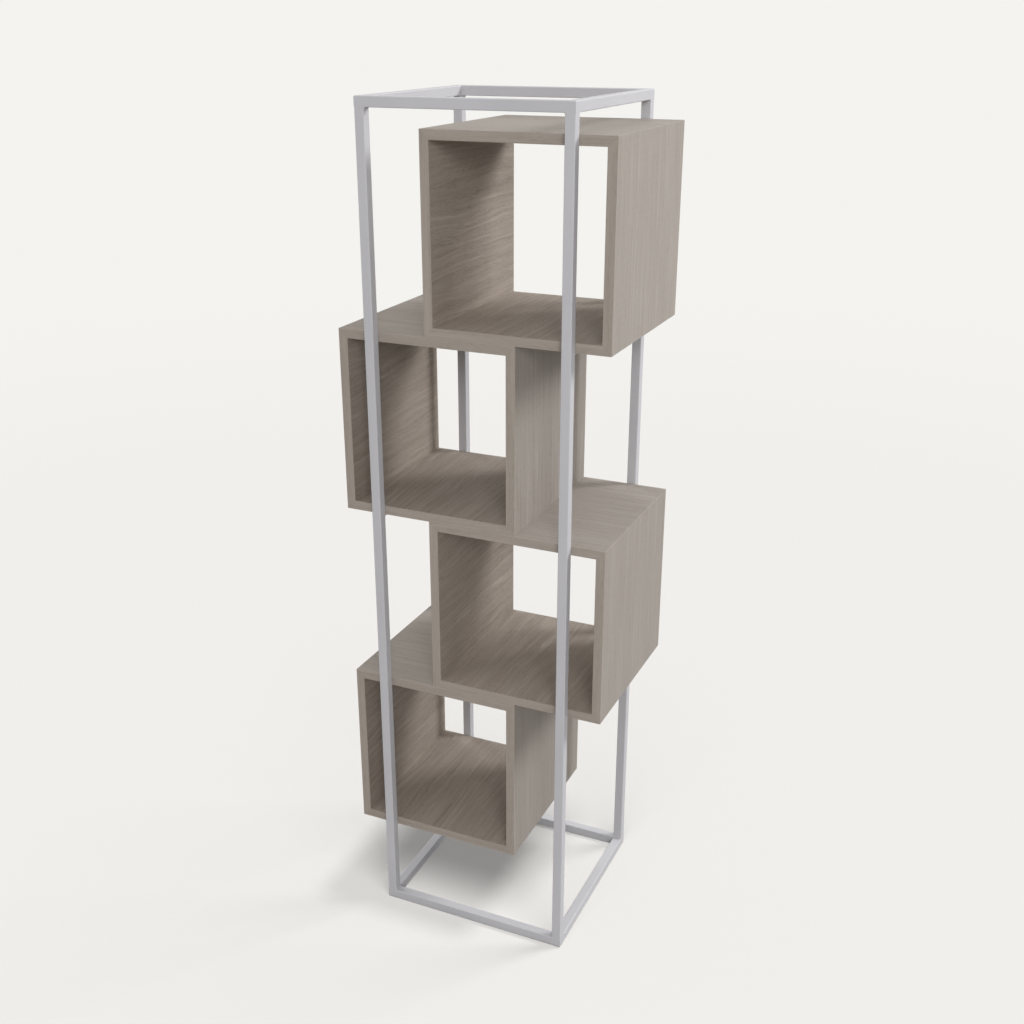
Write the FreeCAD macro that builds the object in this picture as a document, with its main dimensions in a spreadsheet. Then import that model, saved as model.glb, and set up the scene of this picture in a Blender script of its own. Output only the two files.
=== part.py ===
import FreeCAD, Part
import os
from math import radians

import Sketcher
from FreeCAD import Placement, Rotation, Vector

# Cube bookcase: a cage of square steel tube that holds a stack of veneered cubes, open at the
# front and the back and set alternately to the right and to the left.
# The origin is on the floor under the middle of the cage, +X to the right, +Y to the back, +Z up.

cube_count = 4

# Driving dimensions in millimetres. Names that end in share are fractions of another size.
dimensions = {
    # cubes
    "cube_side": 380,
    "board_thickness": 19,
    "cube_offset": 95,
    "lowest_cube_height": 195,
    "corner_easing": 0.6,
    # bands glued on the front and rear edges of the boards
    "band_thickness": 1,
    "band_easing_share": 0.5,
    # loose tongues across the mitres, placed along the mitre from its inner corner
    "tongue_thickness": 4,
    "tongue_width": 12,
    "tongue_setback": 30,
    "tongue_clearance": 0.1,
    "tongue_place_share": 0.4,
    # cage
    "tube_size": 20,
    "tube_wall": 1.5,
    "tube_corner": 2,
    "cage_width": 430,
    "post_clearance": 0.5,
    "top_gap": 35,
    # tabs on the posts, under the cubes
    "tab_width": 16,
    "tab_thickness": 4,
    "tab_length": 40,
    "tab_clip": 4,
    # screws
    "screw_diameter": 4,
    "screw_bite_share": 0.6,
    "hole_clearance": 0.15,
    "hole_end_room": 1,
    "hex_head_radius": 4,
    "hex_head_height": 2.8,
    "countersunk_diameter": 8,
    "socket_radius": 1.4,
    "socket_depth": 1.5,
    "joining_spread_share": 0.5,
    # glides
    "glide_side": 16,
    "glide_thickness": 2,
    "glide_chamfer": 0.5,
    # how far a cutting outline runs past what it cuts
    "overrun": 5,
}

doc = FreeCAD.newDocument("cube_bookcase")
sheet = doc.addObject("Spreadsheet::Sheet", "sizes")
for row, (alias, size) in enumerate(dimensions.items(), start=1):
    sheet.set("A%d" % row, alias)
    sheet.set("B%d" % row, str(size))
    sheet.setAlias("B%d" % row, alias)
doc.recompute()

# Derived lengths, as expressions on the sheet.
cube_half = "(sizes.cube_side / 2)"
cube_inner_half = "(sizes.cube_side / 2 - sizes.board_thickness)"
core_depth = "(sizes.cube_side - 2 * sizes.band_thickness)"
tongue_length = "(sizes.cube_side - 2 * sizes.tongue_setback)"
cage_depth = "(sizes.cube_side + 2 * (sizes.tube_size + sizes.post_clearance))"
cage_height = (
    "(sizes.lowest_cube_height + %d * sizes.cube_side + sizes.top_gap + sizes.tube_size)" % cube_count
)
post_length = "(%s - sizes.glide_thickness - 2 * sizes.tube_size)" % cage_height
post_x = "((sizes.cage_width - sizes.tube_size) / 2)"
post_y = "((%s - sizes.tube_size) / 2)" % cage_depth
post_inner_y = "(%s / 2 - sizes.tube_size)" % cage_depth
tab_hole_reach = "(sizes.tab_length - sizes.tab_width / 2)"
tab_hole_y = "(%s - %s)" % (post_inner_y, tab_hole_reach)
joining_y = "(sizes.joining_spread_share * sizes.cube_side / 2)"
screw_radius = "(sizes.screw_diameter / 2)"
clearance_bore = "(sizes.screw_diameter + 2 * sizes.hole_clearance)"
screw_bite = "(sizes.screw_bite_share * sizes.board_thickness)"
tab_screw_length = "(sizes.tab_thickness + %s)" % screw_bite
joining_screw_length = "(sizes.board_thickness + %s)" % screw_bite

parts = []


def cube_side_sign(cube):
    # Odd cubes, counted from the top, stand to the right and even ones to the left.
    return 1 if cube % 2 else -1


def cube_underside(cube):
    return "(sizes.lowest_cube_height + %d * sizes.cube_side)" % (cube_count - cube)


def measure(expression):
    return float(sheet.evalExpression(expression))


def new_body(label):
    return doc.addObject("PartDesign::Body", label)


def origin_feature(body, role):
    return [feature for feature in body.Origin.OriginFeatures if feature.Role == role][0]


def new_sketch(body, name, plane, offset="0"):
    sketch = body.newObject("Sketcher::SketchObject", name)
    sketch.AttachmentSupport = [(origin_feature(body, plane), "")]
    sketch.MapMode = "FlatFace"
    sketch.setExpression("AttachmentOffset.Base.z", offset)
    return sketch


def place(piece, x, y, z, axis=Vector(0, 0, 1), angle=0):
    piece.Placement = Placement(Vector(), Rotation(axis, angle))
    piece.setExpression("Placement.Base.x", x)
    piece.setExpression("Placement.Base.y", y)
    piece.setExpression("Placement.Base.z", z)


def bind(sketch, expression, kind, *elements):
    # A dimension of the sketch, tied to the sheet.
    number = sketch.addConstraint(Sketcher.Constraint(kind, *elements, measure(expression)))
    sketch.setExpression("Constraints[%d]" % number, expression)


def set_point(sketch, geometry, point, x, y):
    # Places one point of the sketch, on an axis where the distance from it is zero.
    if x == "0":
        sketch.addConstraint(Sketcher.Constraint("PointOnObject", geometry, point, -2))
    else:
        bind(sketch, x, "DistanceX", -1, 1, geometry, point)
    if y == "0":
        sketch.addConstraint(Sketcher.Constraint("PointOnObject", geometry, point, -1))
    else:
        bind(sketch, y, "DistanceY", -1, 1, geometry, point)


def polygon(sketch, corners):
    first = sketch.GeometryCount
    spots = [Vector(measure(x), measure(y), 0) for x, y in corners]
    for start, end in zip(spots, spots[1:] + spots[:1]):
        sketch.addGeometry(Part.LineSegment(start, end))
    for index in range(len(corners)):
        following = (index + 1) % len(corners)
        sketch.addConstraint(Sketcher.Constraint("Coincident", first + index, 2, first + following, 1))
    for index, (x, y) in enumerate(corners):
        set_point(sketch, first + index, 1, x, y)


def square(sketch, size):
    half = "(%s / 2)" % size
    polygon(sketch, [("-" + half, "-" + half), (half, "-" + half), (half, half), ("-" + half, half)])


def hexagon(sketch, radius):
    # Two flats face left and right, and two corners lie on the Y axis.
    flat = "%s * cos(30 deg)" % radius
    rise = "%s * sin(30 deg)" % radius
    right = [(flat, "-" + rise), (flat, rise)]
    left = [("-" + flat, rise), ("-" + flat, "-" + rise)]
    polygon(sketch, right + [("0", radius)] + left + [("0", "-" + radius)])


def circle(sketch, x, y, diameter):
    spot = Vector(measure(x), measure(y), 0)
    number = sketch.addGeometry(Part.Circle(spot, Vector(0, 0, 1), measure(diameter) / 2))
    set_point(sketch, number, 3, x, y)
    bind(sketch, diameter, "Diameter", number)


def rounded_square(sketch, size, radius):
    # Four sides and four corner arcs, centred on the sketch's origin.
    first = sketch.GeometryCount
    half = measure(size) / 2
    bend = measure(radius)
    for corner in range(4):
        turn = Rotation(Vector(0, 0, 1), 90 * corner)
        start = turn.multVec(Vector(bend - half, -half, 0))
        end = turn.multVec(Vector(half - bend, -half, 0))
        centre = turn.multVec(Vector(half - bend, bend - half, 0))
        round_corner = Part.Circle(centre, Vector(0, 0, 1), bend)
        sketch.addGeometry(Part.LineSegment(start, end))
        sketch.addGeometry(Part.ArcOfCircle(round_corner, radians(90 * corner - 90), radians(90 * corner)))
    for corner in range(4):
        side = first + 2 * corner
        arc = side + 1
        next_side = first + (2 * corner + 2) % 8
        sketch.addConstraint(Sketcher.Constraint("Tangent", side, 2, arc, 1))
        sketch.addConstraint(Sketcher.Constraint("Tangent", arc, 2, next_side, 1))
        direction = "Vertical" if corner % 2 else "Horizontal"
        sketch.addConstraint(Sketcher.Constraint(direction, side))
        if corner:
            sketch.addConstraint(Sketcher.Constraint("Equal", first + 1, arc))
    sketch.addConstraint(Sketcher.Constraint("Equal", first, first + 2))
    sketch.addConstraint(Sketcher.Constraint("Symmetric", first + 1, 3, first + 5, 3, -1, 1))
    bind(sketch, radius, "Radius", first + 1)
    bind(sketch, "%s - 2 * %s" % (size, radius), "DistanceX", first, 1, first, 2)


def pad(body, sketch, length, side_type="One side", reverse=False):
    feature = body.newObject("PartDesign::Pad", body.Name + "_pad")
    feature.Profile = sketch
    feature.SideType = side_type
    feature.Reversed = reverse
    feature.setExpression("Length", length)
    return feature


def pocket(body, sketch, length, side_type="One side", reverse=False):
    feature = body.newObject("PartDesign::Pocket", body.Name + "_pocket")
    feature.Profile = sketch
    feature.SideType = side_type
    feature.Reversed = reverse
    feature.setExpression("Length", length)
    return feature


def hole(body, sketch, diameter, reverse=False):
    doc.recompute()
    feature = body.newObject("PartDesign::Hole", body.Name + "_hole")
    feature.Profile = sketch
    feature.Reversed = reverse
    feature.setExpression("Diameter", diameter)
    return feature


def steel_tube_section(body, plane):
    sketch = new_sketch(body, body.Name + "_section", plane)
    rounded_square(sketch, "sizes.tube_size", "sizes.tube_corner")
    square(sketch, "(sizes.tube_size - 2 * sizes.tube_wall)")
    return sketch


def make_post(label, x_sign, y_sign):
    body = new_body(label)
    pad(body, steel_tube_section(body, "XY_Plane"), post_length)
    place(
        body,
        "%d * %s" % (x_sign, post_x),
        "%d * %s" % (y_sign, post_y),
        "sizes.glide_thickness + sizes.tube_size",
    )
    parts.append(body)


def make_rail(label, length, x, y, z, angle):
    # A tube with both ends mitred in plan, its long side facing -Y before it is turned.
    body = new_body(label)
    pad(body, steel_tube_section(body, "YZ_Plane"), length, "Symmetric")
    mitres = new_sketch(body, label + "_mitres", "XY_Plane")
    outside = "(%s / 2 + sizes.overrun)" % length
    inside = "(%s / 2 - sizes.tube_size - sizes.overrun)" % length
    edge = "(sizes.tube_size / 2 + sizes.overrun)"
    for end in (1, -1):
        polygon(
            mitres,
            [
                ("%d * %s" % (end, outside), "-%s" % edge),
                ("%d * %s" % (end, inside), edge),
                ("%d * %s" % (end, outside), edge),
            ],
        )
    pocket(body, mitres, "2 * %s" % edge, "Symmetric")
    place(body, x, y, z, angle=angle)
    parts.append(body)


def make_ring(level, z):
    make_rail(level + "_rail_front", "sizes.cage_width", "0", "-" + post_y, z, 0)
    make_rail(level + "_rail_right", cage_depth, post_x, "0", z, 90)
    make_rail(level + "_rail_rear", "sizes.cage_width", "0", post_y, z, 180)
    make_rail(level + "_rail_left", cage_depth, "-" + post_x, "0", z, 270)


def board_outline(sketch):
    # Section of the bottom board about the cube's centre: mitred ends, outer corners eased.
    flat = "(%s - sizes.corner_easing)" % cube_half
    eased = "(%s - sizes.corner_easing / 2)" % cube_half
    polygon(
        sketch,
        [
            ("-" + flat, "-" + cube_half),
            (flat, "-" + cube_half),
            (eased, "-" + eased),
            (cube_inner_half, "-" + cube_inner_half),
            ("-" + cube_inner_half, "-" + cube_inner_half),
            ("-" + eased, "-" + eased),
        ],
    )


def tongue_outline(sketch, x_sign, z_sign, clearance):
    # A rectangle square across the mitre of one corner of the cube.
    middle = "(%s + sizes.tongue_place_share * sizes.board_thickness)" % cube_inner_half
    along = "(sizes.tongue_width / 2 + %s)" % clearance
    across = "(sizes.tongue_thickness / 2 + %s)" % clearance
    corners = []
    for u, v in ((1, 1), (1, -1), (-1, -1), (-1, 1)):
        x = "%d * (%s + (%d * %s + %d * %s) / sqrt(2))" % (x_sign, middle, u, along, v, across)
        z = "%d * (%s + (%d * %s - %d * %s) / sqrt(2))" % (z_sign, middle, v, across, u, along)
        corners.append((x, z))
    polygon(sketch, corners)


def place_on_cube(piece, cube, angle=0):
    # The cube's centre; a board or band drawn at the bottom is turned about Y to its own side.
    place(
        piece,
        "%d * sizes.cube_offset" % cube_side_sign(cube),
        "0",
        "%s + %s" % (cube_underside(cube), cube_half),
        Vector(0, 1, 0),
        angle,
    )


def drill_pilots(body, name, centres):
    # Blind holes for screws, from the outer face of the bottom board.
    sketch = new_sketch(body, body.Name + name, "XY_Plane", "-" + cube_half)
    for x, y in centres:
        circle(sketch, x, y, clearance_bore)
    feature = hole(body, sketch, clearance_bore, reverse=True)
    feature.DepthType = "Dimension"
    feature.DrillPoint = "Flat"
    feature.setExpression("Depth", "%s + sizes.hole_end_room" % screw_bite)


def drill_countersunk(body, name, centres):
    # Through holes, countersunk on the inner face of the top board.
    sketch = new_sketch(body, body.Name + name, "XY_Plane", "-" + cube_inner_half)
    for x, y in centres:
        circle(sketch, x, y, clearance_bore)
    feature = hole(body, sketch, clearance_bore)
    feature.DepthType = "ThroughAll"
    feature.HoleCutType = "Countersink"
    feature.HoleCutCustomValues = True
    feature.HoleCutCountersinkAngle = 90
    feature.setExpression("HoleCutDiameter", "sizes.countersunk_diameter + 2 * sizes.hole_clearance")


def joining_centres(cube, turned):
    # The screws lie on the cage's centre line; a turned board counts X the other way.
    x = "%d * sizes.cube_offset" % (cube_side_sign(cube) if turned else -cube_side_sign(cube))
    return [(x, "%d * %s" % (y_sign, joining_y)) for y_sign in (1, -1)]


def make_board(cube, side, angle):
    body = new_body("cube_%d_%s" % (cube, side))
    section = new_sketch(body, body.Name + "_section", "XZ_Plane")
    board_outline(section)
    pad(body, section, core_depth, "Symmetric")
    grooves = new_sketch(body, body.Name + "_grooves", "XZ_Plane")
    for end in (1, -1):
        tongue_outline(grooves, end, -1, "sizes.tongue_clearance")
    pocket(body, grooves, "%s + 2 * sizes.tongue_clearance" % tongue_length, "Symmetric")
    if side == "bottom":
        tab_x = "%d * (%s - sizes.cube_offset)" % (cube_side_sign(cube), post_x)
        tab_centres = [(tab_x, "%d * %s" % (y_sign, tab_hole_y)) for y_sign in (1, -1)]
        drill_pilots(body, "_tab_pilots", tab_centres)
        if cube < cube_count:
            drill_pilots(body, "_joining_pilots", joining_centres(cube, False))
    if side == "top" and cube > 1:
        drill_countersunk(body, "_joining_holes", joining_centres(cube, True))
    place_on_cube(body, cube, angle)
    parts.append(body)


def make_band(cube, side, face, y_sign, angle):
    # A strip on one open edge of a board, its two long outer edges eased.
    body = new_body("cube_%d_%s_%s_band" % (cube, side, face))
    section = new_sketch(body, body.Name + "_section", "XZ_Plane", "%d * -%s" % (y_sign, cube_half))
    board_outline(section)
    strip = pad(body, section, "sizes.band_thickness", reverse=y_sign < 0)
    doc.recompute()
    front = y_sign * measure(cube_half)
    long_edges = []
    for number, edge in enumerate(strip.Shape.Edges, start=1):
        ends = [vertex.Point for vertex in edge.Vertexes]
        on_front = all(abs(end.y - front) < edge.Length * 1e-6 for end in ends)
        if on_front and abs(ends[0].z - ends[1].z) < edge.Length * 1e-6:
            long_edges.append("Edge%d" % number)
    easing = body.newObject("PartDesign::Chamfer", body.Name + "_easing")
    easing.Base = (strip, long_edges)
    easing.setExpression("Size", "sizes.band_easing_share * sizes.band_thickness")
    place_on_cube(body, cube, angle)
    return body


def make_cube(cube):
    sides = {"bottom": 0, "left": 90, "top": 180, "right": 270}
    bands = doc.addObject("Part::Compound", "cube_%d_edge_bands" % cube)
    strips = []
    for side, angle in sides.items():
        make_board(cube, side, angle)
        for face, y_sign in (("front", -1), ("rear", 1)):
            strips.append(make_band(cube, side, face, y_sign, angle))
    bands.Links = strips
    parts.append(bands)
    tongues = new_body("cube_%d_mitre_tongues" % cube)
    section = new_sketch(tongues, tongues.Name + "_section", "XZ_Plane")
    for x_sign in (1, -1):
        for z_sign in (1, -1):
            tongue_outline(section, x_sign, z_sign, "0")
    pad(tongues, section, tongue_length, "Symmetric")
    place_on_cube(tongues, cube)
    parts.append(tongues)


def make_tab(cube, face, y_sign):
    # Flat bar with a clipped free end, its root on the post and its top under the cube.
    body = new_body("cube_%d_tab_%s" % (cube, face))
    outline = new_sketch(body, body.Name + "_outline", "XY_Plane")
    half = "(sizes.tab_width / 2)"
    clipped_half = "(sizes.tab_width / 2 - sizes.tab_clip)"
    clipped_length = "(sizes.tab_length - sizes.tab_clip)"
    right = [(half, "0"), (half, clipped_length), (clipped_half, "sizes.tab_length")]
    left = [("-" + x, y) for x, y in reversed(right)]
    polygon(outline, right + left)
    pad(body, outline, "sizes.tab_thickness", reverse=True)
    centre = new_sketch(body, body.Name + "_centre", "XY_Plane")
    circle(centre, "0", tab_hole_reach, clearance_bore)
    feature = hole(body, centre, clearance_bore)
    feature.DepthType = "ThroughAll"
    place(
        body,
        "%d * %s" % (cube_side_sign(cube), post_x),
        "%d * %s" % (y_sign, post_inner_y),
        cube_underside(cube),
        angle=180 if y_sign > 0 else 0,
    )
    parts.append(body)


def turned_shank(body, profile):
    # A screw that points up, turned about Z from half of its profile.
    section = new_sketch(body, body.Name + "_profile", "XZ_Plane")
    polygon(section, profile)
    shank = body.newObject("PartDesign::Revolution", body.Name + "_shank")
    shank.Profile = section
    shank.ReferenceAxis = (section, ["V_Axis"])
    shank.Angle = 360
    return shank


def repeat_to_rear(body, features, distance):
    # The front screw again at the rear.
    pair = body.newObject("PartDesign::LinearPattern", body.Name + "_pair")
    pair.Originals = features
    pair.Direction = (origin_feature(body, "Y_Axis"), [""])
    pair.Occurrences = 2
    pair.setExpression("Length", distance)
    body.Tip = pair


def make_tab_screws(cube):
    # Hexagon-head wood screws, up through the tabs into the bottom board.
    body = new_body("cube_%d_tab_screws" % cube)
    profile = [
        ("0", "0"),
        (screw_radius, "0"),
        (screw_radius, tab_screw_length),
        ("0", tab_screw_length),
    ]
    shank = turned_shank(body, profile)
    outline = new_sketch(body, body.Name + "_hexagon", "XY_Plane")
    hexagon(outline, "sizes.hex_head_radius")
    head = pad(body, outline, "sizes.hex_head_height", reverse=True)
    repeat_to_rear(body, [shank, head], "2 * %s" % tab_hole_y)
    place(
        body,
        "%d * %s" % (cube_side_sign(cube), post_x),
        "-" + tab_hole_y,
        "%s - sizes.tab_thickness" % cube_underside(cube),
    )
    parts.append(body)


def make_joining_screws(upper):
    # Countersunk socket screws, from the ceiling of the lower cube into the floor of the upper one.
    body = new_body("joining_screws_%d_%d" % (upper, upper + 1))
    head = "(sizes.countersunk_diameter / 2)"
    profile = [
        ("0", "0"),
        (head, "0"),
        (screw_radius, "%s - %s" % (head, screw_radius)),
        (screw_radius, joining_screw_length),
        ("0", joining_screw_length),
    ]
    shank = turned_shank(body, profile)
    outline = new_sketch(body, body.Name + "_hexagon", "XY_Plane")
    hexagon(outline, "sizes.socket_radius")
    socket = pocket(body, outline, "sizes.socket_depth", reverse=True)
    repeat_to_rear(body, [shank, socket], "2 * %s" % joining_y)
    place(body, "0", "-" + joining_y, "%s - sizes.board_thickness" % cube_underside(upper))
    parts.append(body)


def make_glide(label, x_sign, y_sign):
    # A square pad with its lower edges chamfered.
    body = new_body(label)
    outline = new_sketch(body, label + "_outline", "XY_Plane")
    square(outline, "sizes.glide_side")
    block = pad(body, outline, "sizes.glide_thickness")
    doc.recompute()
    lower_edges = [
        "Edge%d" % number
        for number, edge in enumerate(block.Shape.Edges, start=1)
        if edge.BoundBox.ZMax < measure("sizes.glide_thickness / 2")
    ]
    chamfer = body.newObject("PartDesign::Chamfer", label + "_chamfer")
    chamfer.Base = (block, lower_edges)
    chamfer.setExpression("Size", "sizes.glide_chamfer")
    place(body, "%d * %s" % (x_sign, post_x), "%d * %s" % (y_sign, post_y), "0")
    parts.append(body)


cage_corners = {
    "front_left": (-1, -1),
    "front_right": (1, -1),
    "rear_left": (-1, 1),
    "rear_right": (1, 1),
}
for corner, (x_sign, y_sign) in cage_corners.items():
    make_glide("glide_" + corner, x_sign, y_sign)
    make_post("post_" + corner, x_sign, y_sign)
make_ring("bottom", "sizes.glide_thickness + sizes.tube_size / 2")
make_ring("top", "%s - sizes.tube_size / 2" % cage_height)
for cube in range(1, cube_count + 1):
    make_cube(cube)
    make_tab(cube, "front", -1)
    make_tab(cube, "rear", 1)
    make_tab_screws(cube)
    if cube < cube_count:
        make_joining_screws(cube)
doc.recompute()

for item in doc.Objects:
    if "Invalid" in item.State or "Error" in item.State:
        raise RuntimeError("%s failed: %s" % (item.Label, item.State))
    if item.TypeId == "Sketcher::SketchObject" and not item.FullyConstrained:
        raise RuntimeError(item.Label + " is not fully constrained")
    if item.TypeId in ("PartDesign::Pocket", "PartDesign::Hole"):
        if item.Shape.Volume >= item.BaseFeature.Shape.Volume:
            raise RuntimeError(item.Label + " cuts nothing")
for part in parts:
    if part.Shape.isNull() or not part.Shape.isValid():
        raise RuntimeError(part.Label + " has no valid shape")

os.makedirs("parts", exist_ok=True)
for part in parts:
    part.Shape.exportStep("parts/%s.step" % part.Label)
    print(part.Label, len(part.Shape.Solids), round(part.Shape.Volume))
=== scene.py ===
import math
import bpy
import numpy as np
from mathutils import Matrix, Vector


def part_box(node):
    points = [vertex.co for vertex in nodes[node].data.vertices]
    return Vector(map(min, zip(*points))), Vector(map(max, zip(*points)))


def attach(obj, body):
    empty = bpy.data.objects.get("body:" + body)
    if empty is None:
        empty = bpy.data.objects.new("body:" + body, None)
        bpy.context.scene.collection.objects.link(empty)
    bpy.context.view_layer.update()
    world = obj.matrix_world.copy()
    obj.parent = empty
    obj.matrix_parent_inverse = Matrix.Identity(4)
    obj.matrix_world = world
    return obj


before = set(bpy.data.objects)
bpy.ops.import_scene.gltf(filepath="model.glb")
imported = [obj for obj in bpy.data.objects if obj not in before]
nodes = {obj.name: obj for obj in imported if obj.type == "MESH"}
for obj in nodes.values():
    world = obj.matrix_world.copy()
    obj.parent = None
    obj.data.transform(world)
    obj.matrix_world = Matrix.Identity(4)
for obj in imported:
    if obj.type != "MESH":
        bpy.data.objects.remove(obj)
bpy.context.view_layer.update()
scene = bpy.context.scene
print("frame loaded:", len(nodes), "CAD nodes")


# node helpers: a socket among the values is linked, anything else is written on the input
def addNode(tree, kind, values=None, **settings):
    node = tree.nodes.new(kind)
    for key, setting in settings.items():
        setattr(node, key, setting)
    for key, value in (values or {}).items():
        if isinstance(value, bpy.types.NodeSocket):
            tree.links.new(value, node.inputs[key])
        else:
            node.inputs[key].default_value = value
    return node


def calc(tree, operation, *terms):
    return addNode(tree, "ShaderNodeMath", dict(enumerate(terms)), operation=operation).outputs[0]


def calcVector(tree, operation, *terms):
    node = addNode(tree, "ShaderNodeVectorMath", dict(enumerate(terms)), operation=operation)
    return node.outputs["Value" if operation in ("DOT_PRODUCT", "LENGTH") else "Vector"]


def choose(tree, pick, chosen, other):
    # chosen where pick is 1, other where it is 0
    rest = calc(tree, "MULTIPLY", other, calc(tree, "SUBTRACT", 1.0, pick))
    return calc(tree, "MULTIPLY_ADD", chosen, pick, rest)


def blendColours(tree, factor, first, second, blend="MIX"):
    node = addNode(tree, "ShaderNodeMix", {0: factor, 6: first, 7: second},
                   data_type="RGBA", blend_type=blend)
    return node.outputs[2]


def tint(tree, mask, share, colour, over):
    # lays a colour over another by a share of the mask
    return blendColours(tree, calc(tree, "MULTIPLY", mask, share), over, colour)


def ease(tree, value, low, high, start=0.0, end=1.0):
    # smooth step of the value, from low..high to start..end
    node = addNode(tree, "ShaderNodeMapRange", {0: value, 1: low, 2: high, 3: start, 4: end},
                   interpolation_type="SMOOTHSTEP")
    return node.outputs[0]


def noise(tree, place, scale, detail=2.0, roughness=0.5):
    # one noise cell is 1 / scale metres long in each direction
    spread = calcVector(tree, "MULTIPLY", place, scale)
    node = addNode(tree, "ShaderNodeTexNoise", {"Vector": spread, "Scale": 1.0, "Detail": detail,
                                                "Roughness": roughness})
    return node.outputs[0]


def split(tree, vector):
    return addNode(tree, "ShaderNodeSeparateXYZ", {0: vector}).outputs[:3]


def join(tree, x, y, z):
    return addNode(tree, "ShaderNodeCombineXYZ", {0: x, 1: y, 2: z}).outputs[0]


def ramp(tree, value, stops):
    node = addNode(tree, "ShaderNodeValToRGB", {0: value})
    points = node.color_ramp.elements
    while len(points) < len(stops):
        points.new(0.5)
    for point, (position, colour) in zip(points, stops):
        point.position = position
        point.color = colour
    return node.outputs[0]


def bump(tree, height, distance, strength):
    node = addNode(tree, "ShaderNodeBump", {"Height": height, "Distance": distance,
                                            "Strength": strength})
    return node.outputs[0]


def newGroup(name, inputs, outputs):
    tree = bpy.data.node_groups.new(name, "ShaderNodeTree")
    for side, sockets in (("INPUT", inputs), ("OUTPUT", outputs)):
        for label, kind in sockets.items():
            tree.interface.new_socket(label, in_out=side, socket_type="NodeSocket" + kind)
    return tree, addNode(tree, "NodeGroupInput").outputs, addNode(tree, "NodeGroupOutput").inputs


def useGroup(tree, group, values):
    return addNode(tree, "ShaderNodeGroup", values, node_tree=group).outputs


def newMaterial(name):
    material = bpy.data.materials.new(name)
    material.use_nodes = True
    tree = material.node_tree
    tree.nodes.clear()
    return material, tree, addNode(tree, "ShaderNodeTexCoord").outputs


def finishMaterial(tree, shader):
    addNode(tree, "ShaderNodeOutputMaterial", {"Surface": shader.outputs[0]})


def finishSurface(tree, values):
    finishMaterial(tree, addNode(tree, "ShaderNodeBsdfPrincipled", values))


def centred(tree, coords, centre):
    back = tuple(-part for part in centre)
    node = addNode(tree, "ShaderNodeMapping", {"Vector": coords["Object"], "Location": back})
    return node.outputs[0]


def shade(red, green, blue):
    # display values 0..255 to the linear colour that a socket takes
    parts = [part / 255 for part in (red, green, blue)]
    linear = [part / 12.92 if part < 0.04045 else ((part + 0.055) / 1.055) ** 2.4 for part in parts]
    return (*linear, 1.0)


def dress(material, names):
    for name in names:
        nodes[name].data.materials.clear()
        nodes[name].data.materials.append(material)


oak = {
    # noises: cells to the metre along the grain, across it and by seed, then detail and roughness
    "slowDrift": ((2.4, 8.0, 1.0), 1.0),
    "quickDrift": ((10.0, 40.0, 1.0), 2.0),
    "broad": ((1.3, 17.0, 1.0), 1.0),
    "rings": ((2.6, 120.0, 1.0), 3.0, 0.62),
    "streaks": ((11.0, 260.0, 1.0), 2.0, 0.6),
    "fibres": ((30.0, 1300.0, 1.0), 1.0),
    "dashes": ((75.0, 2400.0, 1.0), 0.0),
    "veins": ((5.0, 150.0, 4.0), 1.0),
    "middle": 0.5,
    "quickShare": 0.3,
    "toneShares": {"broad": 0.2, "rings": 0.36, "streaks": 0.34, "fibres": 0.1},
    "calm": 0.35,
    "stretch": 6.4,
    "veinEdge": (0.56, 0.7),
    "veinLift": 0.075,
    "baseTone": 0.49,
    "poreEdge": (0.56, 0.68),
    "poreRings": (0.42, 0.6, 1.0, 0.25),  # the pores crowd into the dark rings
    "ringHeight": 0.5,
    "fibreHeight": 0.4,
    "poreDepth": 0.7,
}


# oak grain: the lay vector holds metres along the grain, metres across it, and a seed
def buildOakGrain():
    tree, given, result = newGroup("oakGrain",
                                   {"Lay": "Vector", "Wander": "Float", "Contrast": "Float"},
                                   {"Tone": "Float", "Pores": "Float", "Height": "Float"})
    lay, contrast = given["Lay"], given["Contrast"]
    slow = calc(tree, "SUBTRACT", noise(tree, lay, *oak["slowDrift"]), oak["middle"])
    quick = calc(tree, "SUBTRACT", noise(tree, lay, *oak["quickDrift"]), oak["middle"])
    drift = calc(tree, "MULTIPLY_ADD", quick, oak["quickShare"], slow)
    along, across, seed = split(tree, lay)
    bent = join(tree, along, calc(tree, "MULTIPLY_ADD", drift, given["Wander"], across), seed)
    layers = {part: noise(tree, bent, *oak[part])
              for part in ("broad", "rings", "streaks", "fibres", "dashes", "veins")}
    tone = 0.0
    for part, share in oak["toneShares"].items():
        tone = calc(tree, "MULTIPLY_ADD", layers[part], share, tone)
    # a calm leaf with a few clear lines: small swings of the tone shrink, wide ones grow
    swing = calc(tree, "SUBTRACT", tone, oak["middle"])
    width = calc(tree, "ABSOLUTE", swing)
    swing = calc(tree, "MULTIPLY", swing,
                 calc(tree, "MULTIPLY_ADD", width, oak["stretch"], oak["calm"]))
    veins = ease(tree, layers["veins"], *oak["veinEdge"])
    swing = calc(tree, "MULTIPLY_ADD", veins, oak["veinLift"], swing)
    pores = calc(tree, "MULTIPLY", ease(tree, layers["dashes"], *oak["poreEdge"]),
                 ease(tree, layers["rings"], *oak["poreRings"]))
    height = calc(tree, "MULTIPLY", layers["rings"], oak["ringHeight"])
    height = calc(tree, "MULTIPLY_ADD", layers["fibres"], oak["fibreHeight"], height)
    height = calc(tree, "MULTIPLY_ADD", pores, -oak["poreDepth"], height)
    tree.links.new(calc(tree, "MULTIPLY_ADD", swing, contrast, oak["baseTone"]), result["Tone"])
    tree.links.new(calc(tree, "MULTIPLY", pores, contrast), result["Pores"])
    tree.links.new(height, result["Height"])
    return tree


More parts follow.
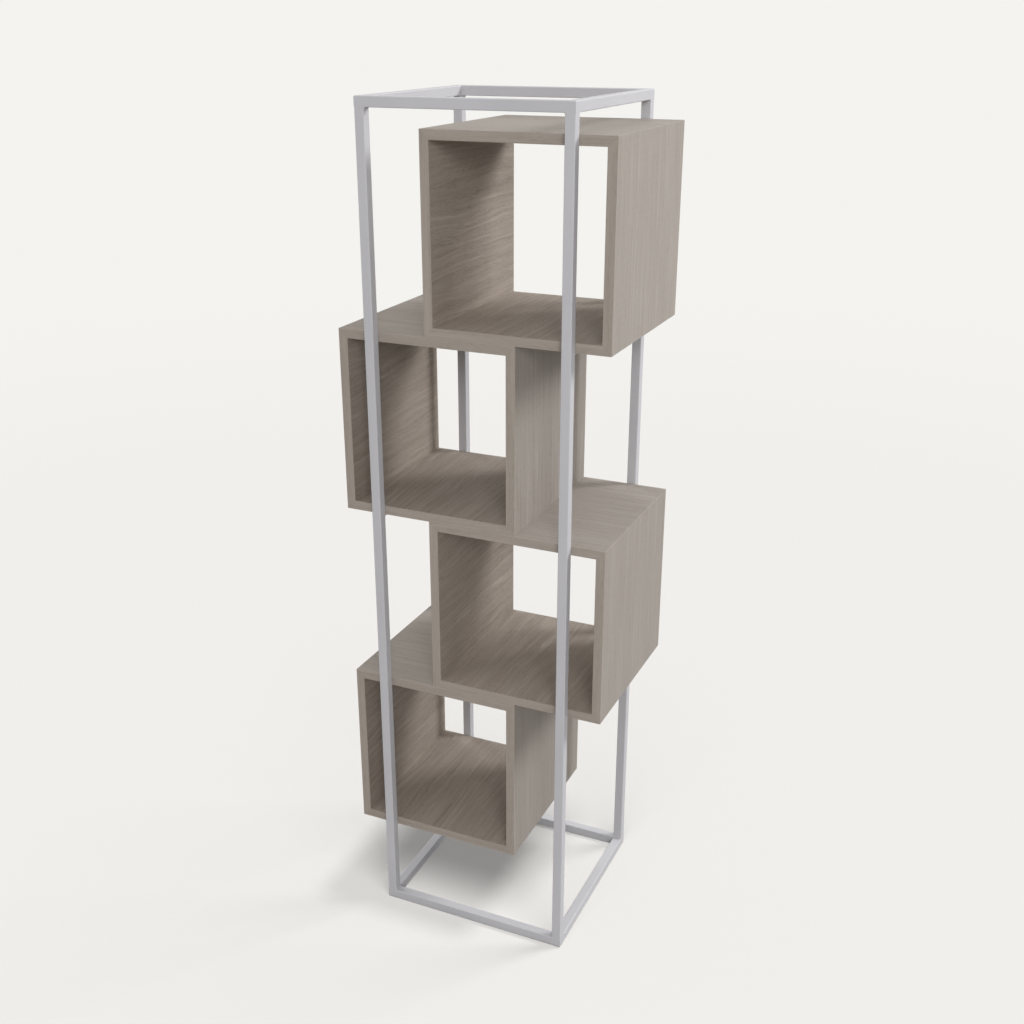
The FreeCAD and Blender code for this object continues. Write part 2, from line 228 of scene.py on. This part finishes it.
cubes = {
    "half": 0.19,
    "centres": {1: (0.095, 0.0, 1.525), 2: (-0.095, 0.0, 1.145),
                3: (0.095, 0.0, 0.765), 4: (-0.095, 0.0, 0.385)},
    "sides": ("bottom", "left", "top", "right"),
    "seeds": {1: 2.0, 2: 17.0, 3: 31.0, 4: 48.0},
    "bandSeed": 7.0,
    "leafSeeds": (1.3, 2.9, 5.0),  # part the inside leaves: left from right, top from bottom, all
    "stripSeeds": (4.1, 1.7),  # part the strips: upright from level, front from rear
    # tone of each cube's veneer: partly real leaf-to-leaf variation, partly painted shade that
    # darkens cubes 2 and 4, whose sides sit recessed under the overhangs
    "leafToneAndShade": {1: 1.0, 2: 0.89, 3: 0.96, 4: 0.9},
    "insideWander": 0.052,
    "outsideWander": 0.02,
    "insideContrast": 0.76,
    "outsideContrast": {1: 0.42, 2: 0.58, 3: 0.4, 4: 0.5},
    "bandContrast": 0.42,
    "veneer": [(0.34, shade(143, 135, 126)), (0.5, shade(165, 157, 149)),
               (0.66, shade(181, 174, 166))],
    "band": [(0.34, shade(147, 137, 127)), (0.5, shade(166, 156, 147)),
             (0.66, shade(181, 171, 162))],
    "lining": shade(255, 250, 245),
    "pore": shade(112, 101, 90),
    "poreShare": 0.6,
    "glue": shade(96, 86, 76),
    "glueShare": 0.32,
    "glueLine": (0.00008, 0.00026),
    "worn": shade(198, 190, 180),
    "wornShare": 0.14,
    "wornPatch": ((60.0, 60.0, 60.0), 3.0),
    "wornReach": 0.0032,
    "wornFade": (-0.0014, 0.0),
    "rough": (0.3, 0.7, 0.6, 0.5),
    "poreRough": 0.12,
    "relief": (0.00025, 0.6),
    "gloss": 0.05,
}


# lay of the veneer on a cube, from its centre: round the outside, front to back on the inside
def buildCubeLay():
    tree, given, result = newGroup("cubeLay",
                                   {"Place": "Vector", "Facing": "Vector", "Seed": "Float"},
                                   {"Lay": "Vector", "Inside": "Float"})
    x, y, z = split(tree, given["Place"])
    facing = split(tree, given["Facing"])
    byWidth, byHeight, fromOutside = cubes["leafSeeds"]
    outward = calcVector(tree, "DOT_PRODUCT", given["Place"], given["Facing"])
    outside = calc(tree, "GREATER_THAN", outward, 0.0)
    inside = calc(tree, "SUBTRACT", 1.0, outside)
    girth = calc(tree, "MULTIPLY_ADD", x, facing[2], calc(tree, "MULTIPLY", z, facing[0]))
    leaf = calc(tree, "MULTIPLY_ADD", facing[2], byHeight, fromOutside)
    leaf = calc(tree, "MULTIPLY_ADD", facing[0], byWidth, leaf)
    seed = calc(tree, "MULTIPLY_ADD", leaf, inside, given["Seed"])
    along, across = choose(tree, outside, girth, y), choose(tree, outside, y, girth)
    tree.links.new(join(tree, along, across, seed), result["Lay"])
    tree.links.new(inside, result["Inside"])
    return tree


# lay of the edge bands: along each strip, turning at the mitres
def buildBandLay():
    tree, given, result = newGroup("bandLay", {"Place": "Vector", "Seed": "Float"},
                                   {"Lay": "Vector"})
    x, y, z = split(tree, given["Place"])
    byStrip, byEnd = cubes["stripSeeds"]
    upright = calc(tree, "GREATER_THAN", calc(tree, "ABSOLUTE", x), calc(tree, "ABSOLUTE", z))
    seed = calc(tree, "MULTIPLY_ADD", upright, byStrip, given["Seed"])
    seed = calc(tree, "MULTIPLY_ADD", calc(tree, "SIGN", y), byEnd, seed)
    along, across = choose(tree, upright, z, x), choose(tree, upright, x, z)
    tree.links.new(join(tree, along, across, seed), result["Lay"])
    return tree


# glue line of the mitres, and light wear along the cube's outer arrises
def buildCubeEdges():
    tree, given, result = newGroup("cubeEdges", {"Place": "Vector"},
                                   {"Mitre": "Float", "Wear": "Float"})
    x, y, z = split(tree, calcVector(tree, "ABSOLUTE", given["Place"]))
    gap = calc(tree, "ABSOLUTE", calc(tree, "SUBTRACT", x, z))
    tree.links.new(ease(tree, gap, *cubes["glueLine"], 1.0, 0.0), result["Mitre"])
    # the second largest of the three distances reaches the half side only on an arris
    second = calc(tree, "MAXIMUM", calc(tree, "MINIMUM", x, z),
                  calc(tree, "MINIMUM", calc(tree, "MAXIMUM", x, z), y))
    depth = calc(tree, "SUBTRACT", cubes["half"], second)
    patchy = noise(tree, given["Place"], *cubes["wornPatch"])
    depth = calc(tree, "SUBTRACT", depth, calc(tree, "MULTIPLY", patchy, cubes["wornReach"]))
    tree.links.new(ease(tree, depth, *cubes["wornFade"], 1.0, 0.0), result["Wear"])
    return tree


oakGrain = buildOakGrain()
cubeLay = buildCubeLay()
bandLay = buildBandLay()
cubeEdges = buildCubeEdges()
print("grain and lay of the wood built")


def woodSurface(tree, place, grain, stops, inside=None):
    colour = ramp(tree, grain["Tone"], stops)
    if inside:
        # a warmer leaf on the inside
        colour = blendColours(tree, inside, colour, cubes["lining"], "MULTIPLY")
    edges = useGroup(tree, cubeEdges, {"Place": place})
    colour = tint(tree, grain["Pores"], cubes["poreShare"], cubes["pore"], colour)
    colour = tint(tree, edges["Wear"], cubes["wornShare"], cubes["worn"], colour)
    colour = tint(tree, edges["Mitre"], cubes["glueShare"], cubes["glue"], colour)
    rough = ease(tree, grain["Tone"], *cubes["rough"])
    finishSurface(tree, {
        "Base Color": colour,
        "Roughness": calc(tree, "MULTIPLY_ADD", grain["Pores"], cubes["poreRough"], rough),
        "Specular IOR Level": cubes["gloss"],
        "Normal": bump(tree, grain["Height"], *cubes["relief"]),
    })


for cube, centre in cubes["centres"].items():
    veneer, tree, coords = newMaterial("greigeOakVeneer%d" % cube)
    place = centred(tree, coords, centre)
    lay = useGroup(tree, cubeLay, {"Place": place, "Facing": coords["Normal"],
                                   "Seed": cubes["seeds"][cube]})
    wander = ease(tree, lay["Inside"], 0.0, 1.0, cubes["outsideWander"], cubes["insideWander"])
    contrast = ease(tree, lay["Inside"], 0.0, 1.0,
                    cubes["outsideContrast"][cube], cubes["insideContrast"])
    grain = useGroup(tree, oakGrain, {"Lay": lay["Lay"], "Wander": wander, "Contrast": contrast})
    # darker veneer for cubes 2 and 4: painted shade of their recessed sides, on top of real leaf
    # variation
    tone = cubes["leafToneAndShade"][cube]
    leaf = [(at, (red * tone, green * tone, blue * tone, alpha))
            for at, (red, green, blue, alpha) in cubes["veneer"]]
    woodSurface(tree, place, grain, leaf, lay["Inside"])
    dress(veneer, ["cube_%d_%s" % (cube, side) for side in cubes["sides"]])

    band, tree, coords = newMaterial("greigeOakBand%d" % cube)
    place = centred(tree, coords, centre)
    lay = useGroup(tree, bandLay, {"Place": place,
                                   "Seed": cubes["seeds"][cube] + cubes["bandSeed"]})
    grain = useGroup(tree, oakGrain, {"Lay": lay["Lay"], "Wander": cubes["outsideWander"],
                                      "Contrast": cubes["bandContrast"]})
    woodSurface(tree, place, grain, cubes["band"])
    dress(band, ["cube_%d_edge_bands" % cube])
print("cubes dressed in veneer and bands")

cage = {
    "middle": (0.0, 0.0, 0.886),
    "spread": (0.205, 0.2005, 0.874),  # from the middle to the middles of the tubes
    "paint": [(0.3, shade(189, 188, 191)), (0.7, shade(198, 197, 200))],
    "thin": shade(200, 199, 202),
    "tone": ((6.0, 6.0, 6.0), 3.0),
    "speckle": ((3600.0, 3600.0, 3600.0), 1.0),
    "peel": ((620.0, 620.0, 620.0), 2.0, 0.4),
    "toneShare": 0.65,
    "speckleShare": 0.35,
    "rim": (0.0074, 0.0093),  # distance from the tube's middle where the paint runs thin
    "rimPatch": ((45.0, 45.0, 45.0), 3.0),
    "rimShares": (0.35, 0.65, 0.15, 0.7),
    "rough": (0.3, 0.7, 0.46, 0.54),
    "speckleRough": 0.1,
    "relief": (0.00012, 0.5),
    "gloss": 0.3,
}


# sprayed paint: orange peel, fine speckle and slow drifts of tone
def buildPaintSkin():
    tree, given, result = newGroup("paintSkin", {"Place": "Vector"},
                                   {"Tone": "Float", "Speckle": "Float", "Peel": "Float"})
    for label in ("Tone", "Speckle", "Peel"):
        tree.links.new(noise(tree, given["Place"], *cage[label.lower()]), result[label])
    return tree


paintSkin = buildPaintSkin()


def paintMaterial(name, crossAxes=None):
    # crossAxes are the two axes across the tube, whose distances from its middle show the edges
    material, tree, coords = newMaterial(name)
    skin = useGroup(tree, paintSkin, {"Place": coords["Object"]})
    tone = calc(tree, "MULTIPLY", skin["Tone"], cage["toneShare"])
    tone = calc(tree, "MULTIPLY_ADD", skin["Speckle"], cage["speckleShare"], tone)
    colour = ramp(tree, tone, cage["paint"])
    if crossAxes:
        folded = calcVector(tree, "ABSOLUTE", centred(tree, coords, cage["middle"]))
        offset = calcVector(tree, "SUBTRACT", folded, cage["spread"])
        offset = split(tree, calcVector(tree, "ABSOLUTE", offset))
        corner = calc(tree, "MINIMUM", *[offset[axis] for axis in crossAxes])
        patchy = ease(tree, noise(tree, coords["Object"], *cage["rimPatch"]), *cage["rimShares"])
        colour = tint(tree, ease(tree, corner, *cage["rim"]), patchy, cage["thin"], colour)
    rough = ease(tree, skin["Tone"], *cage["rough"])
    finishSurface(tree, {
        "Base Color": colour,
        "Roughness": calc(tree, "MULTIPLY_ADD", skin["Speckle"], cage["speckleRough"], rough),
        "Specular IOR Level": cage["gloss"],
        "Normal": bump(tree, skin["Peel"], *cage["relief"]),
    })
    return material


posts = sorted(name for name in nodes if name.startswith("post_"))
tabs = sorted(name for name in nodes if name.endswith(("_tab_front", "_tab_rear")))
dress(paintMaterial("silverPaintPosts", (0, 1)), posts)
for level in ("top", "bottom"):
    for axes, sides in (((1, 2), ("front", "rear")), ((0, 2), ("left", "right"))):
        dress(paintMaterial("silverPaint_%s_%s" % (level, sides[0]), axes),
              ["%s_rail_%s" % (level, side) for side in sides])
tabPaint = paintMaterial("silverPaintTabs")
dress(tabPaint, tabs)
print("cage painted")

# the small pieces: noises for the tone, the wear and the relief, and what they drive
screws = {
    "stops": [(0.35, shade(176, 177, 180)), (0.65, shade(204, 205, 206))],
    "tone": ((900.0, 900.0, 900.0), 3.0),
    "wear": ((260.0, 260.0, 5200.0), 2.0),
    "relief": ((260.0, 260.0, 5200.0), 2.0),
    "rough": (0.3, 0.7, 0.24, 0.42),
    "bump": (0.00006, 0.4),
    "metal": 1.0,
}
glides = {
    "stops": [(0.35, shade(128, 128, 130)), (0.65, shade(146, 146, 148))],
    "tone": ((90.0, 1500.0, 90.0), 2.0),
    "wear": ((90.0, 1500.0, 90.0), 2.0),
    "relief": ((1800.0, 1800.0, 1800.0), 2.0),
    "rough": (0.3, 0.7, 0.5, 0.66),
    "bump": (0.00008, 0.5),
    "metal": 0.0,
}
tongues = {
    "stops": [(0.3, shade(176, 146, 110)), (0.7, shade(208, 182, 146))],
    "tone": ((1100.0, 9.0, 1100.0), 2.0),
    "wear": ((1100.0, 9.0, 1100.0), 2.0),
    "relief": ((1100.0, 9.0, 1100.0), 2.0),
    "rough": (0.3, 0.7, 0.62, 0.8),
    "bump": (0.0001, 0.5),
    "metal": 0.0,
}


def smallMaterial(name, finish):
    material, tree, coords = newMaterial(name)
    tone, wear, relief = [noise(tree, coords["Object"], *finish[part])
                          for part in ("tone", "wear", "relief")]
    finishSurface(tree, {
        "Base Color": ramp(tree, tone, finish["stops"]),
        "Metallic": finish["metal"],
        "Roughness": ease(tree, wear, *finish["rough"]),
        "Normal": bump(tree, relief, *finish["bump"]),
    })
    return material


dress(smallMaterial("zincPlate", screws), [name for name in nodes if "screws" in name])
dress(smallMaterial("glidePlastic", glides), [name for name in nodes if name.startswith("glide_")])
dress(smallMaterial("tonguePly", tongues), [name for name in nodes if name.endswith("_tongues")])
print("screws, glides and tongues dressed")


def meshFromGrids(name, grids, crease=35.0):
    # each grid is rings of points along a path: the quads close round every ring, a flat face
    # closes each end, and edges sharper than the crease angle stay sharp
    points, faces, start = [], [], 0
    for grid, facing in grids:
        rows, columns = grid.shape[:2]
        index = start + np.arange(rows * columns).reshape(rows, columns)
        ahead = np.roll(index, -1, axis=1)
        quads = np.stack([index[:-1], ahead[:-1], ahead[1:], index[1:]], axis=2).reshape(-1, 4)
        loops = quads.tolist() + [index[0, ::-1].tolist(), index[-1].tolist()]
        faces += loops if facing > 0 else [loop[::-1] for loop in loops]
        points.append(grid.reshape(-1, 3))
        start += rows * columns
    mesh = bpy.data.meshes.new(name)
    mesh.from_pydata(np.concatenate(points).tolist(), [], faces)
    mesh.validate()
    mesh.polygons.foreach_set("use_smooth", np.ones(len(mesh.polygons), dtype=bool))
    mesh.set_sharp_from_angle(angle=math.radians(crease))
    mesh.materials.append(tabPaint)
    piece = bpy.data.objects.new(name, mesh)
    scene.collection.objects.link(piece)
    return piece


joint = {
    "tube": 0.020,
    "round": 0.002,
    "fillet": 0.0032,
    "sunk": 0.0011,
    "seamDrop": 0.3,
    "tip": 0.0002,
    "arcSteps": 9,
    "bendSteps": 7,
}


def seatInset(depth):
    # how far a tube's rounded edge falls back from its faces, at a depth from the nearer side
    near = np.minimum(np.minimum(depth, joint["tube"] - depth), joint["round"])
    return joint["round"] - np.sqrt(joint["round"] ** 2 - (joint["round"] - near) ** 2)


def cornerFillet(swapped):
    # a hollow quarter round between the inner face of a post and the rail, carried across the rail:
    # its radius grows over the tubes' rounded edges, so that it ends level with their outer faces
    ends = joint["round"] * (1.0 - np.cos(np.linspace(0.0, math.pi / 2, joint["bendSteps"])))
    depth = np.concatenate([ends, joint["tube"] - ends[::-1]])[:, None]
    turn = np.linspace(0.0, math.pi / 2, joint["arcSteps"])[None, :]
    inset = seatInset(depth)
    reach = joint["fillet"] + inset
    inward = joint["tube"] + joint["fillet"] - reach * np.cos(turn)
    rise = reach * np.sin(turn) - joint["fillet"]
    sunk = np.maximum(joint["sunk"] - inset, 0.0)
    inward = np.concatenate([inward, joint["tube"] - inset - sunk], axis=1)
    rise = np.concatenate([rise, inset + sunk], axis=1)
    across = np.broadcast_to(depth, inward.shape)
    return np.stack([across, inward, rise] if swapped else [inward, across, rise], axis=2)


def groundSeam():
    # a wedge that fills the groove between a post's end and the rails' rounded edges, carried round
    # the outer corner: its face is level with the tubes, and its corner sharpens from the post's
    # to the rails'
    run = joint["tube"] - joint["round"]
    drop = joint["seamDrop"] * joint["sunk"]
    bend = np.linspace(0.0, math.pi / 2, joint["bendSteps"])[:, None]
    radius = np.array([[joint["round"], joint["tip"], joint["tip"], joint["round"]]])
    rise = np.array([[0.0, joint["round"], joint["round"] - drop, -drop]])
    sunk = np.array([[0.0, 0.0, joint["sunk"], joint["sunk"]]])
    first = sunk + radius * (1.0 - np.sin(bend))
    second = sunk + radius * (1.0 - np.cos(bend))
    far = np.full_like(sunk, run)
    inward = np.concatenate([far, first, sunk])
    across = np.concatenate([sunk, second, far])
    return np.stack([inward, across, np.broadcast_to(rise, inward.shape)], axis=2)


def cornerWelds(postName):
    # the fillets and the seam at both ends of a post, mirrored into its corner of the cage
    low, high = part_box(postName)
    side = 1.0 if high.x > 0 else -1.0
    end = 1.0 if high.y > 0 else -1.0
    outer = (high.x if side > 0 else low.x, high.y if end > 0 else low.y)
    shapes = ((cornerFillet(False), -1.0), (cornerFillet(True), 1.0), (groundSeam(), 1.0))
    for level, up in ((high.z, 1.0), (low.z, -1.0)):
        for shape, hand in shapes:
            spread = shape * (-side, -end, up) + (outer[0], outer[1], level)
            yield spread, hand * side * end * up


cornerJoints = meshFromGrids("corner_welds", [part for name in posts for part in cornerWelds(name)])
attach(cornerJoints, "root")
print("cage corners welded and ground:", 2 * len(posts))

weld = {
    "radius": 0.0024,
    "ripple": 0.09,
    "ripples": 9,
    "endPower": 6,
    "endShare": 0.02,
    "inset": 0.0004,
    "lengthSteps": 55,
    "arcSteps": 7,
}


def weldBead(tabName):
    # a quarter round carried along the root of a tab, under it and against the post; its radius
    # swells and dips as a cosine, and narrows to a small end as a flattened ellipse does
    low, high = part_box(tabName)
    facing = 1.0 if low.y + high.y < 0 else -1.0
    root = low.y if facing > 0 else high.y
    step = np.linspace(-1.0, 1.0, weld["lengthSteps"])[:, None]
    turn = np.linspace(0.0, math.pi / 2, weld["arcSteps"])[None, :]
    swell = 1.0 + weld["ripple"] * np.cos(step * math.pi * weld["ripples"])
    narrow = np.sqrt(np.maximum(1.0 - step ** weld["endPower"], weld["endShare"]))
    radius = weld["radius"] * swell * narrow
    halfLength = (high.x - low.x) / 2 - weld["inset"]
    x = (low.x + high.x) / 2 + halfLength * step + 0.0 * turn
    y = root + facing * radius * np.cos(turn)
    z = low.z - radius * np.sin(turn)
    arc = np.stack([x, y, z], axis=2)
    start = x[:, :1]
    heel = np.stack([start, np.full_like(start, root), np.full_like(start, low.z)], axis=2)
    return np.concatenate([heel, arc], axis=1), -facing


beads = meshFromGrids("tab_welds", [weldBead(name) for name in tabs])
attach(beads, "root")
print("weld beads laid under", len(tabs), "tabs")

studio = {
    "floorReach": 60.0,
    "floorFade": (2.5, 7.0),  # where the paper runs out into the backdrop
    "backdrop": shade(244, 243, 239),
    "floorColour": shade(80, 79, 78),
    "floorGlow": shade(135, 134, 132),
    "floorBounce": shade(65, 64, 63),
    "skyLight": (1.0, 0.995, 0.985, 1.0),
    "skyStrength": (0.17, 0.96),  # at the horizon, overhead
    "aim": (0.0, 0.0, 1.3),
    "boxLight": (0.985, 1.0, 1.025),
    "boxDistance": 7.0,
    # turn from the right hand side towards the back, rise above the floor, width, height, watts
    "softboxes": {
        "keySoftbox": (34.0, 27.0, 2.0, 2.2, 296.0),
        "fillSoftbox": (-60.0, 20.0, 2.6, 2.6, 193.0),
        "rimSoftbox": (150.0, 12.0, 2.6, 2.6, 204.0),
    },
    # turn, rise, softness and strength of the lamps that give the floor its shadow
    "floorLamps": {
        "frontFloorLamp": (-60.0, 64.0, 36.0, 17.2),
        "sideFloorLamp": (40.0, 60.0, 16.0, 8.5),
    },
    "foot": ("cube_4_bottom", "post_", "bottom_rail_", "glide_"),  # what shades the floor lamps
}


def seenDirectly(tree):
    # rays that should show the pale backdrop: the camera's, and those in gloss and glass
    ray = addNode(tree, "ShaderNodeLightPath").outputs
    gloss = calc(tree, "MAXIMUM", ray["Is Glossy Ray"], ray["Is Transmission Ray"])
    return calc(tree, "MAXIMUM", ray["Is Camera Ray"], gloss)


def mixShaders(tree, factor, first, second):
    return addNode(tree, "ShaderNodeMixShader",
                   {0: factor, 1: first.outputs[0], 2: second.outputs[0]})


def addLamp(name, kind, turn, rise, strength, receivers):
    lamp = bpy.data.lights.new(name, kind)
    lamp.energy = strength
    stand = bpy.data.objects.new(name, lamp)
    stand.rotation_euler = (0.0, math.radians(90.0 - rise), math.radians(turn))
    stand.light_linking.receiver_collection = receivers
    scene.collection.objects.link(stand)
    return stand


corners = np.array([(-1, -1, 0), (1, -1, 0), (1, 1, 0), (-1, 1, 0)]) * studio["floorReach"]
floorMesh = bpy.data.meshes.new("studioFloor")
floorMesh.from_pydata(corners.tolist(), [], [(0, 1, 2, 3)])
floor = bpy.data.objects.new("studioFloor", floorMesh)
scene.collection.objects.link(floor)
paper, tree, coords = newMaterial("studioPaper")
matt = addNode(tree, "ShaderNodeBsdfDiffuse", {"Color": studio["floorColour"]})
glow = addNode(tree, "ShaderNodeEmission", {"Color": studio["floorGlow"]})
lit = addNode(tree, "ShaderNodeAddShader", {0: matt.outputs[0], 1: glow.outputs[0]})
plain = addNode(tree, "ShaderNodeEmission", {"Color": studio["backdrop"]})
bounce = addNode(tree, "ShaderNodeBsdfDiffuse", {"Color": studio["floorBounce"]})
away = ease(tree, calcVector(tree, "LENGTH", coords["Object"]), *studio["floorFade"])
shown = mixShaders(tree, away, lit, plain)
finishMaterial(tree, mixShaders(tree, seenDirectly(tree), bounce, shown))
floorMesh.materials.append(paper)

# the sky's light rises from a dim horizon to bright overhead; seen directly it is the backdrop
world = bpy.data.worlds.new("studioSky")
scene.world = world
world.use_nodes = True
tree = world.node_tree
tree.nodes.clear()
upward = split(tree, addNode(tree, "ShaderNodeTexCoord").outputs["Generated"])[2]
horizon, overhead = studio["skyStrength"]
rising = calc(tree, "MULTIPLY_ADD", calc(tree, "MAXIMUM", upward, 0.0), overhead - horizon, horizon)
light = addNode(tree, "ShaderNodeBackground", {"Color": studio["skyLight"], "Strength": rising})
backdrop = addNode(tree, "ShaderNodeBackground", {"Color": studio["backdrop"], "Strength": 1.0})
sky = mixShaders(tree, seenDirectly(tree), light, backdrop)
addNode(tree, "ShaderNodeOutputWorld", {"Surface": sky.outputs[0]})

# the softboxes light all but the floor; the floor lamps light nothing else, and only the foot of
# the bookcase shades them
allButFloor = bpy.data.collections.new("allButFloor")
allButFloor.objects.link(floor)
allButFloor.collection_objects[0].light_linking.link_state = "EXCLUDE"
onlyFloor = bpy.data.collections.new("onlyFloor")
onlyFloor.objects.link(floor)
foot = bpy.data.collections.new("bookcaseFoot")
for name in nodes:
    if name.startswith(studio["foot"]):
        foot.objects.link(nodes[name])
for name, (turn, rise, width, height, watts) in studio["softboxes"].items():
    box = addLamp(name, "AREA", turn, rise, watts, allButFloor)
    box.data.shape = "ELLIPSE"
    box.data.size, box.data.size_y = height, width
    box.data.color = studio["boxLight"]
    angle, tilt = math.radians(turn), math.radians(rise)
    level = math.cos(tilt)
    toBox = np.array([level * math.cos(angle), level * math.sin(angle), math.sin(tilt)])
    box.location = studio["aim"] + studio["boxDistance"] * toBox
    box.visible_camera = False
for name, (turn, rise, softness, strength) in studio["floorLamps"].items():
    lamp = addLamp(name, "SUN", turn, rise, strength, onlyFloor)
    lamp.data.angle = math.radians(softness)
    lamp.light_linking.blocker_collection = foot
scene.view_settings.view_transform = "Standard"
print("floor, sky and lamps set")

view = {
    "place": (1.01357, -2.26249, 1.89642),
    "turn": (67.6309, 0.1757, 24.5735),
    "lens": 43.876,
    "shift": (0.01211, 0.02007),
    "clipEnd": 200.0,
}
camera = bpy.data.cameras.new("frontRight")
camera.lens = view["lens"]
camera.shift_x, camera.shift_y = view["shift"]
camera.clip_end = view["clipEnd"]
watcher = bpy.data.objects.new("frontRight", camera)
watcher.location = view["place"]
watcher.rotation_euler = [math.radians(angle) for angle in view["turn"]]
scene.collection.objects.link(watcher)
scene.camera = watcher
